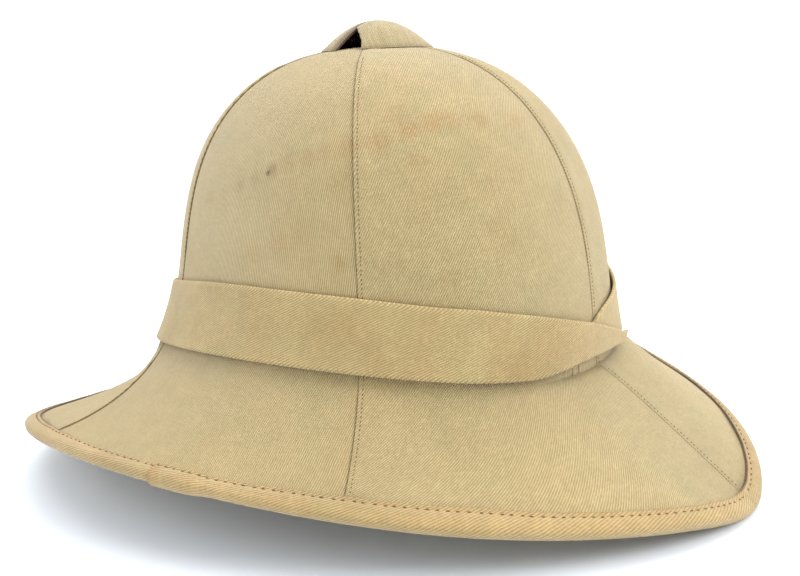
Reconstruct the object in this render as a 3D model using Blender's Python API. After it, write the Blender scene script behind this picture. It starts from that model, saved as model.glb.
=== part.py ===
"""Pith helmet: moulded body, six cloth gores, wrapped band, brim binding and vent cap.

Metres, +Z up.  The helmet stands on z = 0 on the front and back ends of its brim.
Its front faces -Y and the wearer's left is +X.  Angles go round the helmet from
the back (+Y) towards the wearer's left, and negative angles towards the right.
"""

import math

import bmesh
import bpy
from mathutils import Vector

# ---------------------------------------------------------------- crown
CROWN_HALF_LENGTH = 0.1080
CROWN_HALF_WIDTH = 0.0929
CROWN_TOP_HEIGHT = 0.1892
CROWN_SHOULDER = 2.40        # exponent of the radius in the crown's rounded profile
CROWN_FLATNESS = 2.77        # exponent of the height in the crown's rounded profile
CROWN_FLARE = (0.100, -0.051, -0.026)   # widening of the crown at its foot: mean, cos t, cos 2t
CROWN_FLARE_DECAY = 6
CROWN_LEAN = (0.0030, -0.0053)   # backward bulge half way up: terms of height and height squared
FOOT_WAVE = (0.0574, 0.0016, -0.0087)   # height of the crown's foot: mean, cos t, cos 2t

# ---------------------------------------------------------------- brim
# The brim's outline is wide and round in front and narrows to a blunt point behind.
BRIM_WIDTH = (0.1364, -0.0282, -0.0098, -0.0009)    # terms of sin t, sin 2t, sin 3t, sin 4t
BRIM_LENGTH = (0.1758, -0.0060, -0.0127, -0.0006)   # terms of cos t, cos 2t, cos 3t, cos 4t
BRIM_SIDE_LIFT = (0.0274, -0.0054, -0.0027, 0.0049)   # rise at the sides: mean, cos t, cos 2t, cos 3t
RIGHT_SAG = 0.0045           # by which the edge hangs lower on the right, slightly behind the middle
RIGHT_SAG_ANGLE = -74.0
RIGHT_SAG_SPREAD = 20.0      # degrees
EDGE_HEIGHT_FRONT = 0.0043   # upper face of the covered edge above the table
EDGE_HEIGHT_BACK = 0.0038
BRIM_REACH = (-0.08, -0.075, -0.76)  # how far out the brim's curve bends: mean, cos t, cos 2t
BRIM_REACH_SOFTNESS = 0.05   # rounding where that reach comes down to nothing
BRIM_DROP = (0.58, -0.33, -0.36)    # how far down it has come by there: mean, cos t, cos 2t
SEAM_SWING = (2.6, 11.7)     # degrees by which the seams swing along the brim: sin t, sin 2t

# ---------------------------------------------------------------- layers
CLOTH = 0.0010
GAP = 0.0003
SHELL_THICK_CROWN = 0.0050
SHELL_THICK_EDGE = 0.0020

# ---------------------------------------------------------------- divisions
SEAMS = (0.0, 62.0, 119.5, 180.0, 240.5, 298.0, 360.0)
PANEL_NAMES = ("back_left", "side_left", "front_left", "front_right", "side_right", "back_right")
STEPS_PER_PANEL = 8
CROWN_ROWS = 10
FOOT_ROUND_ROWS = 2
BRIM_ROWS = 4
VENT_HEIGHT_FRACTION = 0.9965    # the crown ends here, at the edge of the vent hole
FOOT_ROUND_FRACTION = 0.045      # the rounding at the crown's foot starts at this height
FOOT_ROUND_REACH = 0.10          # and ends this far along the brim

# ---------------------------------------------------------------- binding
BINDING_WIDTH = (0.0045, 0.0007, -0.0015, -0.0006, 0.0003)   # of a leg: mean, cos t to cos 4t
BINDING_NOSE = 0.0022        # from the covered edge to the outside of the fold
NOSE_TURNS = (90.0, 45.0, 0.0, -45.0, -75.0, -90.0)   # degrees of the corners round the fold
PRESSED_HEIGHT = 0.0011      # the turned strip's outside is pressed flat below this height

# ---------------------------------------------------------------- band
BAND_THICK = 0.0015
BAND_FOOT_FLARE = 0.0015
BAND_LIFT = 0.0012
BAND_ROWS = 3
# Course of the band from its hidden start to its pointed end.
# angle: degrees; low, high: edges above the crown's foot; stand_off: from the cloth cover
BAND_COURSE = (
    # angle,   low,    high,   stand_off
    (14.0, 0.0020, 0.0110, 0.0005),
    (5.0, 0.0012, 0.0165, 0.0005),
    (0.0, 0.0008, 0.0200, 0.0005),
    (-5.0, 0.0006, 0.0230, 0.0007),
    (-15.0, 0.0005, 0.0245, 0.0010),
    (-24.0, 0.0004, 0.0250, 0.0010),
    (-35.0, 0.0003, 0.0252, 0.0007),
    (-55.0, 0.0003, 0.0265, 0.0006),
    (-180.0, 0.0003, 0.0281, 0.0006),
    (-324.0, 0.0003, 0.0283, 0.0006),
    (-337.0, 0.0014, 0.0264, 0.0010),
    (-344.0, 0.0028, 0.0245, 0.0019),
    (-350.0, 0.0038, 0.0223, 0.0024),
    (-358.0, 0.0038, 0.0188, 0.0026),
    (-368.0, 0.0024, 0.0125, 0.0031),
    (-374.0, 0.0008, 0.0082, 0.0038),
    (-377.0, 0.0032, 0.0056, 0.0046),
)

# ---------------------------------------------------------------- vent cap
CAP_RADIUS = 0.0260
CAP_HEIGHT = 0.0117
CAP_CENTRE_Y = 0.0012
CAP_WALL = 0.0018
CAP_TIP_SHARE = 0.05         # radius of the flat at the very top, as a share
CAP_ROWS = 5
CAP_STEPS = 36
# Upper boundary of the cap's open mouth, whose curved jamb leans back over it.
MOUTH_EDGE = (
    # angle, height in cap heights
    (66.0, 0.00),
    (68.0, 0.28),
    (74.0, 0.50),
    (84.0, 0.68),
    (92.0, 0.75),
    (99.0, 0.00),
)

# ---------------------------------------------------------------- looks: colour, roughness
PITH = ((0.47, 0.40, 0.28), 0.95)
COVER_COTTON = ((0.56, 0.44, 0.25), 0.9)
BAND_COTTON = ((0.58, 0.45, 0.25), 0.9)
BINDING_COTTON = ((0.62, 0.44, 0.23), 0.88)


def cosines(terms, angle):
    """Sum of terms[0] + terms[1] cos t + terms[2] cos 2t and so on."""
    return sum(term * math.cos(order * angle) for order, term in enumerate(terms))


def smooth_step(x):
    x = min(max(x, 0.0), 1.0)
    return x * x * (3.0 - 2.0 * x)


# ================================================================ outer surface of the cover
def crown_radius_share(angle, height):
    """Radius of the crown at a share of its height, as a share of its unflared radius at the foot."""
    dome = (1.0 - height ** CROWN_FLATNESS) ** (1.0 / CROWN_SHOULDER)
    return dome * (1.0 + cosines(CROWN_FLARE, angle) * (1.0 - height) ** CROWN_FLARE_DECAY)


def foot_height(angle):
    return cosines(FOOT_WAVE, angle)


def crown_point(angle, height, proud=0.0):
    share = crown_radius_share(angle, height)
    lean = CROWN_LEAN[0] * height + CROWN_LEAN[1] * height ** 2
    foot = foot_height(angle)
    return Vector((
        (CROWN_HALF_WIDTH * share + proud) * math.sin(angle),
        lean + (CROWN_HALF_LENGTH * share + proud) * math.cos(angle),
        foot + (CROWN_TOP_HEIGHT - foot) * height,
    ))


def edge_point(angle):
    """Upper outer line of the brim's covered edge."""
    swing = [math.radians(term) for term in SEAM_SWING]
    t = angle + swing[0] * math.sin(angle) + swing[1] * math.sin(2.0 * angle)
    lift = math.sin(t) ** 2 * cosines(BRIM_SIDE_LIFT, t)
    from_sag = (math.degrees(t) - RIGHT_SAG_ANGLE + 180.0) % 360.0 - 180.0
    lift -= RIGHT_SAG * math.exp(-(from_sag / RIGHT_SAG_SPREAD) ** 2)
    backness = 0.5 * (1.0 + math.cos(t))
    length, egg, point, square = BRIM_LENGTH
    return Vector((
        sum(term * math.sin((order + 1) * t) for order, term in enumerate(BRIM_WIDTH)),
        length * math.cos(t) + egg * (math.cos(2.0 * t) - 1.0)
        + point * (math.cos(3.0 * t) - math.cos(t)) + square * (math.cos(4.0 * t) - 1.0),
        EDGE_HEIGHT_FRONT + (EDGE_HEIGHT_BACK - EDGE_HEIGHT_FRONT) * backness + lift,
    ))


def brim_point(angle, along):
    """Point of the brim's hollow curve: along = 0 at the crown's foot, 1 at the edge."""
    foot = crown_point(angle, 0.0)
    edge = edge_point(angle)
    span = edge - foot
    reach = cosines(BRIM_REACH, angle)
    reach = 0.5 * (reach + math.hypot(reach, BRIM_REACH_SOFTNESS))
    drop = cosines(BRIM_DROP, angle)
    bend = foot + Vector((span.x * reach, span.y * reach, span.z * drop))
    return foot * (1.0 - along) ** 2 + bend * 2.0 * along * (1.0 - along) + edge * along ** 2


def foot_round_point(angle, share):
    """Rounding between crown (share 0) and brim (share 1)."""
    above = crown_point(angle, FOOT_ROUND_FRACTION)
    corner = crown_point(angle, 0.0)
    below = brim_point(angle, FOOT_ROUND_REACH)
    return above * (1.0 - share) ** 2 + corner * 2.0 * share * (1.0 - share) + below * share ** 2


def crown_heights():
    """Height shares from the vent hole to the foot rounding, at equal steps along the side."""
    samples = 400
    top = VENT_HEIGHT_FRACTION
    heights = [top + (FOOT_ROUND_FRACTION - top) * (i / samples) ** 2 for i in range(samples + 1)]
    points = [crown_point(math.radians(90.0), height) for height in heights]
    lengths = [0.0]
    for upper, lower in zip(points, points[1:]):
        lengths.append(lengths[-1] + (lower - upper).length)
    picked = []
    for row in range(CROWN_ROWS + 1):
        target = lengths[-1] * row / CROWN_ROWS
        nearest = min(range(samples + 1), key=lambda i: abs(lengths[i] - target))
        picked.append(heights[nearest])
    return picked


HEIGHTS = crown_heights()
ROW_COUNT = CROWN_ROWS + FOOT_ROUND_ROWS + BRIM_ROWS


def cover_point(angle, row):
    """Outer face of the cloth cover, from row 0 at the vent hole to ROW_COUNT at the edge.

    The last row but one lies under the inner edge of the binding's upper leg.
    """
    if row <= CROWN_ROWS:
        lower = min(int(row), CROWN_ROWS - 1)
        share = row - lower
        return crown_point(angle, HEIGHTS[lower] * (1.0 - share) + HEIGHTS[lower + 1] * share)
    row -= CROWN_ROWS
    if row <= FOOT_ROUND_ROWS:
        return foot_round_point(angle, row / FOOT_ROUND_ROWS)
    row -= FOOT_ROUND_ROWS
    leg = 1.0 - cosines(BINDING_WIDTH, angle) / (edge_point(angle) - crown_point(angle, 0.0)).length
    if row <= BRIM_ROWS - 1:
        return brim_point(angle, FOOT_ROUND_REACH + (leg - FOOT_ROUND_REACH) * row / (BRIM_ROWS - 1))
    return brim_point(angle, leg + (1.0 - leg) * (row - BRIM_ROWS + 1))


def cover_frame(angle, row):
    """Point, outward normal, sideways tangent and downward tangent of the cover."""
    turn = 1e-3
    slide = 0.05
    across = cover_point(angle + turn, row) - cover_point(angle - turn, row)
    down = cover_point(angle, min(row + slide, ROW_COUNT)) - cover_point(angle, max(row - slide, 0.0))
    normal = down.cross(across).normalized()
    if normal.z < 0.0:
        normal.negate()
    return cover_point(angle, row), normal, across.normalized(), down.normalized()


def panel_angles(panel):
    first, last = SEAMS[panel], SEAMS[panel + 1]
    return [math.radians(first + (last - first) * i / STEPS_PER_PANEL) for i in range(STEPS_PER_PANEL + 1)]


def all_angles():
    return [angle for panel in range(len(PANEL_NAMES)) for angle in panel_angles(panel)[:-1]]


# ================================================================ meshes
def clear_scene():
    for item in list(bpy.data.objects):
        bpy.data.objects.remove(item, do_unlink=True)


def make_material(name, look):
    colour, roughness = look
    material = bpy.data.materials.new(name)
    material.use_nodes = True
    shader = material.node_tree.nodes["Principled BSDF"]
    shader.inputs["Base Color"].default_value = (*colour, 1.0)
    shader.inputs["Roughness"].default_value = roughness
    shader.inputs["Metallic"].default_value = 0.0
    return material


def finish_mesh(name, bm, look):
    bmesh.ops.triangulate(bm, faces=bm.faces, quad_method="FIXED")
    bmesh.ops.recalc_face_normals(bm, faces=bm.faces)
    mesh = bpy.data.meshes.new(name)
    bm.to_mesh(mesh)
    bm.free()
    mesh.shade_smooth()
    mesh.set_sharp_from_angle(angle=math.radians(35.0))
    mesh.materials.append(make_material(name, look))
    piece = bpy.data.objects.new(name, mesh)
    bpy.context.scene.collection.objects.link(piece)
    return piece


def fill_grid(bm, columns, closed):
    """Quads between neighbouring columns of points, and the last with the first if closed.

    Each quad starts at its upper left corner, so that all layers get parallel diagonals.
    """
    verts = [[bm.verts.new(point) for point in column] for column in columns]
    pairs = list(zip(verts, verts[1:]))
    if closed:
        pairs.append((verts[-1], verts[0]))
    for left, right in pairs:
        for i in range(len(left) - 1):
            bm.faces.new((left[i], left[i + 1], right[i + 1], right[i]))
    return verts


def wall_between(name, outer, inner, closed, look):
    """Closed wall between an outer and an inner grid of points that match one to one."""
    bm = bmesh.new()
    front = fill_grid(bm, outer, closed)
    back = fill_grid(bm, inner, closed)
    steps = range(len(front) if closed else len(front) - 1)
    for i in steps:
        j = (i + 1) % len(front)
        bm.faces.new((front[i][0], front[j][0], back[j][0], back[i][0]))
        bm.faces.new((front[j][-1], front[i][-1], back[i][-1], back[j][-1]))
    if not closed:
        for row in range(len(front[0]) - 1):
            bm.faces.new((front[0][row + 1], front[0][row], back[0][row], back[0][row + 1]))
            bm.faces.new((front[-1][row], front[-1][row + 1], back[-1][row + 1], back[-1][row]))
    return finish_mesh(name, bm, look)


def swept_ring(name, sections, look):
    """Closed ring through closed sections, whose outer and inner halves run out and back.

    Each quad's first corner sets its diagonal, which runs as in the layers that the ring
    wraps, so that its faces stay parallel to theirs.
    """
    bm = bmesh.new()
    loops = [[bm.verts.new(point) for point in section] for section in sections]
    for here, there in zip(loops, loops[1:] + loops[:1]):
        for i in range(len(here)):
            j = (i + 1) % len(here)
            half = len(here) // 2
            outward = i % half < half // 2
            quad = (here[i], here[j], there[j], there[i])
            bm.faces.new(quad if outward else quad[1:] + quad[:1])
    return finish_mesh(name, bm, look)


# ================================================================ pieces
def shell_thickness(row):
    on_brim = smooth_step((row - CROWN_ROWS) / (ROW_COUNT - CROWN_ROWS))
    return SHELL_THICK_CROWN + (SHELL_THICK_EDGE - SHELL_THICK_CROWN) * on_brim


def build_shell():
    outer, inner = [], []
    for angle in all_angles():
        outer.append([])
        inner.append([])
        for row in range(ROW_COUNT + 1):
            point, normal, _, _ = cover_frame(angle, row)
            outer[-1].append(point - normal * (CLOTH + GAP))
            inner[-1].append(point - normal * (CLOTH + GAP + shell_thickness(row)))
    return wall_between("pith_shell", outer, inner, True, PITH)


def build_panel(panel):
    outer, inner = [], []
    angles = panel_angles(panel)
    for angle in angles:
        side = {angles[0]: 0.5 * GAP, angles[-1]: -0.5 * GAP}.get(angle, 0.0)
        outer.append([])
        inner.append([])
        for row in range(ROW_COUNT + 1):
            point, normal, across, _ = cover_frame(angle, row)
            point = point + across * side
            outer[-1].append(point)
            inner[-1].append(point - normal * CLOTH)
    return wall_between("cover_panel_" + PANEL_NAMES[panel], outer, inner, False, COVER_COTTON)


def pressed(point):
    """The point, or its foot on the table where the helmet's weight flattens the strip."""
    return Vector((point.x, point.y, 0.0)) if point.z < PRESSED_HEIGHT else point


def binding_section(angle):
    """Closed section of the turned strip: upper leg, rounded nose, lower leg."""
    edge, normal, _, outward = cover_frame(angle, ROW_COUNT)
    leg, leg_normal, _, _ = cover_frame(angle, ROW_COUNT - 1)
    depth = CLOTH + GAP + SHELL_THICK_EDGE
    leg_depth = CLOTH + GAP + shell_thickness(ROW_COUNT - 1)
    middle = edge - normal * (0.5 * depth)
    section = []
    for layer in (GAP + CLOTH, GAP):
        half = 0.5 * depth + layer
        nose = BINDING_NOSE - (GAP + CLOTH - layer)
        turns = [math.radians(turn) for turn in NOSE_TURNS]
        face = [leg + leg_normal * layer]
        for turn in turns:
            face.append(middle + normal * (half * math.sin(turn)) + outward * (nose * math.cos(turn)))
        face += [leg - leg_normal * (leg_depth + layer)]
        section += [pressed(point) for point in face] if layer > GAP else face[::-1]
    return section


def build_binding():
    sections = [binding_section(angle) for angle in all_angles()]
    return swept_ring("brim_binding", sections, BINDING_COTTON)


def band_values(angle):
    """Low edge, high edge and stand-off of the band at an angle of its course."""
    for first, last in zip(BAND_COURSE, BAND_COURSE[1:]):
        if first[0] >= angle >= last[0]:
            share = (first[0] - angle) / (first[0] - last[0])
            return [a + (b - a) * share for a, b in zip(first[1:], last[1:])]
    raise ValueError("angle outside the band's course")


def band_angles():
    """The cover's own columns along the course, and the two ends of the band."""
    start, end = BAND_COURSE[0][0], BAND_COURSE[-1][0]
    once_round = [round(math.degrees(angle), 4) for angle in all_angles()]
    columns = sorted({angle - turn for angle in once_round for turn in (0, 360, 720)}, reverse=True)
    return [start] + [angle for angle in columns if end + 1.0 < angle < start - 1.0] + [end]


def build_band():
    outer, inner = [], []
    for angle in band_angles():
        low, high, stand_off = band_values(angle)
        t = math.radians(angle)
        rise = CROWN_TOP_HEIGHT - foot_height(t)
        outer.append([])
        inner.append([])
        for row in range(BAND_ROWS + 1):
            above = BAND_LIFT + high + (low - high) * row / BAND_ROWS
            flare = BAND_FOOT_FLARE * (1.0 - min(above / high, 1.0)) ** 2
            proud = stand_off + flare
            outer[-1].append(crown_point(t, above / rise, proud + BAND_THICK))
            inner[-1].append(crown_point(t, above / rise, proud))
    return wall_between("band", outer[::-1], inner[::-1], False, BAND_COTTON)


def mouth_height(angle):
    """Height of the cap's lower boundary over the crown, in cap heights, at an angle in degrees."""
    for (first, low), (last, high) in zip(MOUTH_EDGE, MOUTH_EDGE[1:]):
        if first <= angle <= last:
            return low + (high - low) * (angle - first) / (last - first)
    return 0.0


def cap_point(angle, height, radius, top):
    """Point of the cap's shallow dome; height is a share of its top height."""
    reach = radius * math.sqrt(1.0 - height)
    return Vector((reach * math.sin(angle), CAP_CENTRE_Y + reach * math.cos(angle), top * height))


def crown_height_under(radius, angle):
    """Height of the cloth cover at a distance from the cap's axis."""
    low, high = 0.5, VENT_HEIGHT_FRACTION
    for _ in range(40):
        middle = 0.5 * (low + high)
        point = crown_point(angle, middle)
        if math.hypot(point.x, point.y - CAP_CENTRE_Y) > radius:
            low = middle
        else:
            high = middle
    return crown_point(angle, low).z


def build_cap():
    angles = [360.0 * i / CAP_STEPS for i in range(CAP_STEPS)]
    angles = sorted(set(angles) | {angle for angle, _ in MOUTH_EDGE})
    outer, inner = [], []
    for degrees in angles:
        t = math.radians(degrees)
        low = mouth_height(degrees)
        base = crown_height_under(CAP_RADIUS, t) + GAP
        top = CROWN_TOP_HEIGHT + CAP_HEIGHT - base
        outer.append([])
        inner.append([])
        for row in range(CAP_ROWS + 1):
            widest = math.sqrt(1.0 - low)
            height = 1.0 - (CAP_TIP_SHARE + (widest - CAP_TIP_SHARE) * row / CAP_ROWS) ** 2
            lift = Vector((0.0, 0.0, base))
            outer[-1].append(cap_point(t, height, CAP_RADIUS, top) + lift)
            inner[-1].append(cap_point(t, height, CAP_RADIUS - CAP_WALL, top - CAP_WALL) + lift)
    return cap_from(outer, inner)


def cap_from(outer, inner):
    """Dome wall with its crown closed outside and inside."""
    bm = bmesh.new()
    front = fill_grid(bm, outer, True)
    back = fill_grid(bm, inner, True)
    bm.faces.new([column[0] for column in front][::-1])
    bm.faces.new([column[0] for column in back])
    for here, there in zip(range(len(front)), list(range(1, len(front))) + [0]):
        bm.faces.new((front[there][-1], front[here][-1], back[here][-1], back[there][-1]))
    return finish_mesh("vent_cap", bm, COVER_COTTON)


def main():
    clear_scene()
    build_shell()
    for panel in range(len(PANEL_NAMES)):
        build_panel(panel)
    build_band()
    build_binding()
    build_cap()


main()
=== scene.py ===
"""Looks of the pith helmet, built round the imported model.

Metres, +Z up, in the frame of the model.  Angles go round the helmet from the back (+Y)
towards the wearer's left (+X), as in the model.  The named sizes below are the model's own,
so that every visible piece lies where the node it replaces lies.
"""

import math
import random

import bmesh
import bpy
import numpy as np
from mathutils import Matrix, Vector, noise


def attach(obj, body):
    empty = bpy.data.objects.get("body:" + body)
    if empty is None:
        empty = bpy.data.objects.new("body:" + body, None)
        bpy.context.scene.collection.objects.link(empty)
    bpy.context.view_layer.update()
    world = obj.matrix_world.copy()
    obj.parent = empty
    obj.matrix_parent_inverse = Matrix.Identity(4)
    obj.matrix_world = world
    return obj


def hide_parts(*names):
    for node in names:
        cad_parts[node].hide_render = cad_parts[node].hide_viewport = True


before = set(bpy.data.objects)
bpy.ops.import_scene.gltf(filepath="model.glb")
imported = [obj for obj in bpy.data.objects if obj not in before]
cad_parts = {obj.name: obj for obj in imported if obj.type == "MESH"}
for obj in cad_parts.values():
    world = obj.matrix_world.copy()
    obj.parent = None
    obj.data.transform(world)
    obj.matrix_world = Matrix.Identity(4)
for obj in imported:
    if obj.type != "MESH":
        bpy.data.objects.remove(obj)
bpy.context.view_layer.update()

MM = 0.001
TURN = 2.0 * math.pi
HIGH = Vector((0.0, 0.0, 1.0))

# ---- sizes of the model
CROWN_HALF_LENGTH = 0.1080
CROWN_HALF_WIDTH = 0.0929
CROWN_TOP_HEIGHT = 0.1892
CROWN_SHOULDER = 2.40
CROWN_FLATNESS = 2.77
CROWN_FLARE = (0.100, -0.051, -0.026)
CROWN_FLARE_DECAY = 6
CROWN_LEAN = (0.0030, -0.0053)
FOOT_WAVE = (0.0574, 0.0016, -0.0087)
BRIM_WIDTH = (0.1364, -0.0282, -0.0098, -0.0009)
BRIM_LENGTH = (0.1758, -0.0060, -0.0127, -0.0006)
BRIM_SIDE_LIFT = (0.0274, -0.0054, -0.0027, 0.0049)
RIGHT_SAG = 0.0045
RIGHT_SAG_ANGLE = -74.0
RIGHT_SAG_SPREAD = 20.0
EDGE_HEIGHT_FRONT = 0.0043
EDGE_HEIGHT_BACK = 0.0038
BRIM_REACH = (-0.08, -0.075, -0.76)
BRIM_REACH_SOFTNESS = 0.05
BRIM_DROP = (0.58, -0.33, -0.36)
SEAM_SWING = (2.6, 11.7)
VENT_HEIGHT_FRACTION = 0.9965
FOOT_ROUND_FRACTION = 0.045
FOOT_ROUND_REACH = 0.10
CLOTH = 0.0010
GAP = 0.0003
SHELL_THICK_CROWN = 0.0050
SHELL_THICK_EDGE = 0.0020
BINDING_WIDTH = (0.0045, 0.0007, -0.0015, -0.0006, 0.0003)
BINDING_NOSE = 0.0022
CAP_RADIUS = 0.0260
CAP_HEIGHT = 0.0117
CAP_CENTRE_Y = 0.0012
MOUTH_EDGE = ((66.0, 0.00), (68.0, 0.28), (74.0, 0.50), (84.0, 0.68), (92.0, 0.75), (99.0, 0.00))

# ---- what only the looks have
CLOTH_SEEN = 0.5 * MM           # thickness of one layer of the cover
LAP_RISE = 0.85 * MM            # height of a gore's folded edge over its neighbour
LAP_ROUND = 0.5 * MM
LAP_WIDTH = 4.5 * MM            # turned-in cloth behind the folded edge
LAP_FADE = 10.0 * MM
SEAM_STITCH_INSET = 1.7 * MM
SEAM_STITCH_PITCH = 1.75 * MM
STITCH_JITTER = 0.12            # unevenness of a stitch's place, as a share of the pitch
BINDING_STITCH_INSET = 1.7 * MM    # where a leg is BINDING_FULL_WIDTH wide
BINDING_FULL_WIDTH = 6.2 * MM
BINDING_STITCH_PITCH = 3.7 * MM
BAND_THICK = 1.6 * MM
BAND_LIFT = 1.2 * MM
BAND_FOOT_FLARE = 0.8 * MM
BINDING_LAP_ANGLE = 90.2        # where the binding's ends lap
BINDING_LAP_RISE = 1.0 * MM
BINDING_LAP_LENGTH = 16.0 * MM

# Seams between the gores.  over: which neighbour lies on top, -1 for the one at smaller angles.
# Shade and dirt painted in the crease along the fold, and rise of the fold, on the crown and on the brim,
# from 0 to 1.
SEAMS = (
    # angle, over, crease_crown, crease_brim, rise_crown, rise_brim
    (0.0, -1, 0.32, 0.12, 0.50, 0.18),
    (62.0, -1, 0.85, 0.75, 0.80, 0.70),
    (119.5, 1, 1.00, 0.95, 0.75, 0.75),
    (180.0, -1, 0.55, 0.40, 0.60, 0.50),
    (240.5, -1, 0.85, 0.75, 0.80, 0.70),
    (298.0, 1, 0.85, 0.75, 0.75, 0.70),
)
SEAMS += ((360.0, *SEAMS[0][1:]),)     # the first one again, which ends the last gore
STITCHED_SEAMS = (0, 1, 3, 4)   # these seams are topstitched beside the fold
# The gores between them, with the slant of their twill from the gore's own middle line in
# degrees, and how strongly shade is painted into the grooves of their weave.
GORES = (
    # name, twill_slant, strength of the painted groove shade
    ("back_left", 32.0, 0.75),
    ("side_left", 3.0, 1.05),
    ("front_left", -30.0, 0.90),
    ("front_right", 30.0, 0.90),
    ("side_right", -3.0, 1.05),
    ("back_right", -32.0, 0.75),
)
# Course of the band from its hidden start to its pointed end: angle in degrees, low and high edge
# over the crown's foot, and distance from the crown.  It is the model's course but for both ends:
# there the low edge is raised, and the pointed end is longer, a little closer to the crown and
# has a small ear.
BAND_COURSE = (
    # angle,   low,    high,   stand_off
    (14.0, 0.0054, 0.0120, 0.0005),
    (5.0, 0.0072, 0.0165, 0.0005),
    (0.0, 0.0072, 0.0200, 0.0005),
    (-5.0, 0.0068, 0.0230, 0.0007),
    (-15.0, 0.0044, 0.0245, 0.0010),
    (-24.0, 0.0012, 0.0250, 0.0010),
    (-35.0, 0.0003, 0.0252, 0.0007),
    (-55.0, 0.0003, 0.0265, 0.0006),
    (-180.0, 0.0003, 0.0281, 0.0006),
    (-324.0, 0.0003, 0.0283, 0.0006),
    (-337.0, 0.0010, 0.0264, 0.0010),
    (-344.0, 0.0031, 0.0245, 0.0015),
    (-350.0, 0.0048, 0.0223, 0.0018),
    (-358.0, 0.0054, 0.0188, 0.0021),
    (-368.0, 0.0041, 0.0122, 0.0029),
    (-371.5, 0.0030, 0.0095, 0.0035),
    (-374.0, 0.0016, 0.0074, 0.0040),
    (-374.6, 0.0022, 0.0068, 0.0042),
    (-378.5, 0.0040, 0.0050, 0.0048),
)
# Old marks in the cloth, by kind: angle in degrees, height above the table in mm, radius in mm
# and strength.
MARKS = {
    "brown": (
        (106, 128, 4.5, 0.30), (100, 131, 3.5, 0.40), (94, 134, 4.0, 0.45), (89, 137, 3.5, 0.45),
        (84, 140, 4.0, 0.45), (108, 127, 2.0, 0.45), (66, 105, 4.5, 0.50), (65, 136, 9.5, 0.25),
        (88, 107, 8.0, 0.25), (29, 111, 10.0, 0.22), (7, 122, 6.5, 0.20), (42, 98, 6.0, 0.20),
        (-120, 150, 9.0, 0.40), (165, 140, 12.0, 0.30), (-150, 118, 10.0, 0.30),
    ),
    "rose": (
        (79, 144, 4.5, 0.50), (74, 145, 5.0, 0.50), (69, 147, 4.5, 0.50), (63, 148, 5.5, 0.55),
        (55, 150, 6.0, 0.65), (47, 154, 6.5, 0.75), (40, 156, 6.5, 0.80), (34, 156, 5.5, 0.60),
        (25, 156, 5.5, 0.55), (11, 155, 5.5, 0.50), (80, 112, 6.5, 0.35), (75, 117, 5.5, 0.35),
        (50, 160, 6.5, 0.40), (46, 142, 5.5, 0.35), (-60, 154, 8.0, 0.40),
    ),
    "spot": ((84, 141, 2.5, 0.25),),
}
SPOT = (85, 139.5, 1.0)         # the one small dark spot: angle, height and radius, as above
SPOT_GORE = "side_left"

# Loose threads: from and to, each as angle, station of the cover (see cover below) and
# distance from it in mm.
DARK_THREADS = (
    (11.6, 1.10, 3.9, 10.0, 2.02, 0.5),
    (13.4, 1.20, 3.4, 13.0, 1.80, 1.2),
)
PALE_THREADS = (
    # fringe under the band's edge
    (7.6, 1.15, 3.4, 7.0, 1.92, 0.9),
    (8.9, 1.15, 3.4, 8.5, 2.01, 0.5),
    (10.2, 1.15, 3.4, 10.9, 1.95, 0.7),
    (12.3, 1.15, 3.4, 11.6, 1.98, 0.6),
    (14.2, 1.15, 3.3, 14.6, 1.90, 0.8),
    (15.6, 1.15, 3.2, 15.0, 1.86, 0.9),
    (17.0, 1.15, 3.1, 17.2, 1.80, 1.0),
    # frayed end of the back seam on the brim
    (-3.6, 1.86, 0.7, -1.9, 2.07, 0.5),
    (-2.8, 1.92, 0.8, -0.2, 2.10, 0.4),
    (-1.7, 1.86, 0.7, -1.0, 2.14, 0.5),
    (-0.6, 1.90, 0.8, 1.3, 2.12, 0.4),
    (0.8, 1.88, 0.7, -0.7, 2.16, 0.5),
    (1.9, 1.92, 0.7, 0.9, 2.09, 0.5),
    # tuft where the binding's ends lap
    (91.6, 2.885, 0.5, 92.5, 2.845, 1.9),
    (91.9, 2.885, 0.5, 91.6, 2.835, 1.5),
    (92.3, 2.890, 0.5, 93.3, 2.855, 1.2),
)

# ---- colours and lights
COVER_COLOUR = (0.448, 0.350, 0.173)
CAP_COLOUR = (0.38, 0.31, 0.162)
BAND_COLOUR = (0.472, 0.361, 0.168)
BINDING_COLOUR = (0.478, 0.342, 0.153)
PITH_COLOUR = (0.50, 0.43, 0.31)
THREAD_COLOUR = (0.16, 0.09, 0.035)
BINDING_THREAD_COLOUR = (0.18, 0.10, 0.042)
PALE_THREAD_COLOUR = (0.60, 0.50, 0.32)
# Near-black finish of the cap's inside: painted shade.
VENT_SHADE_COLOUR = (0.045, 0.033, 0.02)
FLOOR_COLOUR = (0.86, 0.915, 0.995)
FLOOR_HALF = 6.0                # from the middle of the floor to its sides
LIGHT_AIM = Vector((0.0, 0.0, 0.08))
# Places of the lights: towards the camera, to the right of its view, and up.
LIGHTS = (
    # name, near, right, up, size, power, colour
    ("light_top", -0.3, 0.0, 1.6, 1.8, 15.5, (1.0, 0.99, 0.97)),
    ("light_right", 0.55, 1.25, 0.95, 0.9, 14.0, (1.0, 0.98, 0.94)),
    ("light_left", 0.3, -1.4, 0.8, 1.0, 5.0, (0.93, 0.97, 1.0)),
)
WORLD_STRENGTH = (1.25, 0.48)   # behind the helmet and on the side from which it is seen
WORLD_DROP = 0.35               # how far the darker side of the world lies under the camera's level

# ---- camera, from the photograph
CAMERA_TARGET = Vector((0.0, 0.0, 0.083))
CAMERA_DISTANCE = 0.4214
CAMERA_AZIMUTH = 50.90          # from the back towards the wearer's left, degrees
CAMERA_ELEVATION = 11.63
CAMERA_ROLL = -3.39
CAMERA_FOCAL_PX = 851.7
TARGET_PX = (388.4, 269.3)     # where the target stands in the photograph
IMAGE_PX = (800, 576)

rng = random.Random(7)


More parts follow.
